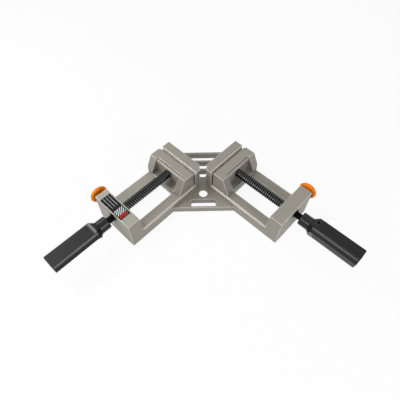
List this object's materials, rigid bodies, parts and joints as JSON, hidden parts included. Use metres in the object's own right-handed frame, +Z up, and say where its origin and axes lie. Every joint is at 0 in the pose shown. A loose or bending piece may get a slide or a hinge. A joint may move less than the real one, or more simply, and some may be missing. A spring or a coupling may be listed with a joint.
{
  "type": "corner clamp",
  "caption": "Right-angle corner clamp with a cast base, fixed and sliding jaws driven by lead screws with long grips, and sprung push-button quick-release half nuts.",
  "frame": {"origin": "the clamping corner, where the planes of the two fixed jaw faces meet, at bench level", "axes": "+Z up from the bench; the right arm's screw runs out along +X and the left arm's along -Y"},
  "size_m": [0.3, 0.3, 0.0463],
  "materials": {
    "cast_paint": "satin warm grey paint on a casting",
    "blackened_steel": "black oxide",
    "grip_plastic": "satin black moulding",
    "button_plastic": "bright orange moulding",
    "plain_steel": "zinc-plated or turned steel",
    "spring_steel": "drawn spring wire"
  },
  "bodies": {
    "base": {"base_casting": "cast_paint", "left_stop_pin": "plain_steel", "left_release_spring": "spring_steel", "right_stop_pin": "plain_steel", "right_release_spring": "spring_steel"},
    "left_jaw": {"left_movable_jaw": "cast_paint", "left_jaw_keeper": "plain_steel", "left_keeper_screws": "plain_steel", "left_journal_pin": "plain_steel"},
    "left_screw": {"left_lead_screw": "blackened_steel", "left_handle": "grip_plastic", "left_handle_pin": "blackened_steel"},
    "left_release": {"left_half_nut": "plain_steel", "left_release_button": "button_plastic"},
    "right_jaw": {"right_movable_jaw": "cast_paint", "right_jaw_keeper": "plain_steel", "right_keeper_screws": "plain_steel", "right_journal_pin": "plain_steel"},
    "right_screw": {"right_lead_screw": "blackened_steel", "right_handle": "grip_plastic", "right_handle_pin": "blackened_steel"},
    "right_release": {"right_half_nut": "plain_steel", "right_release_button": "button_plastic"}
  },
  "joints": [
    {"name": "left_jaw_slide", "type": "slide", "parent": "base", "child": "left_jaw", "axis": [0, -1, 0], "range_m": [-0.00135, 0.066]},
    {"name": "left_screw_turn", "type": "hinge", "parent": "left_jaw", "child": "left_screw", "pos_m": [-0.0492, 0, 0.0338], "axis": [0, -1, 0], "range_deg": [-162, 7920]},
    {"name": "left_button_press", "type": "slide", "parent": "base", "child": "left_release", "axis": [1, 0, 0], "range_m": [0, 0.004], "stiffness_N_per_m": 1500, "springref_m": -0.004, "deforming": ["left_release_spring"]},
    {"name": "right_jaw_slide", "type": "slide", "parent": "base", "child": "right_jaw", "axis": [1, 0, 0], "range_m": [-0.00135, 0.066]},
    {"name": "right_screw_turn", "type": "hinge", "parent": "right_jaw", "child": "right_screw", "pos_m": [0, 0.0492, 0.0338], "axis": [1, 0, 0], "range_deg": [-162, 7920]},
    {"name": "right_button_press", "type": "slide", "parent": "base", "child": "right_release", "axis": [0, -1, 0], "range_m": [0, 0.004], "stiffness_N_per_m": 1500, "springref_m": -0.004, "deforming": ["right_release_spring"]}
  ],
  "couplings": [
    {"joint": "left_screw_turn", "follows": "left_jaw_slide", "rad_per_m": 2094.4},
    {"joint": "right_screw_turn", "follows": "right_jaw_slide", "rad_per_m": 2094.4}
  ]
}
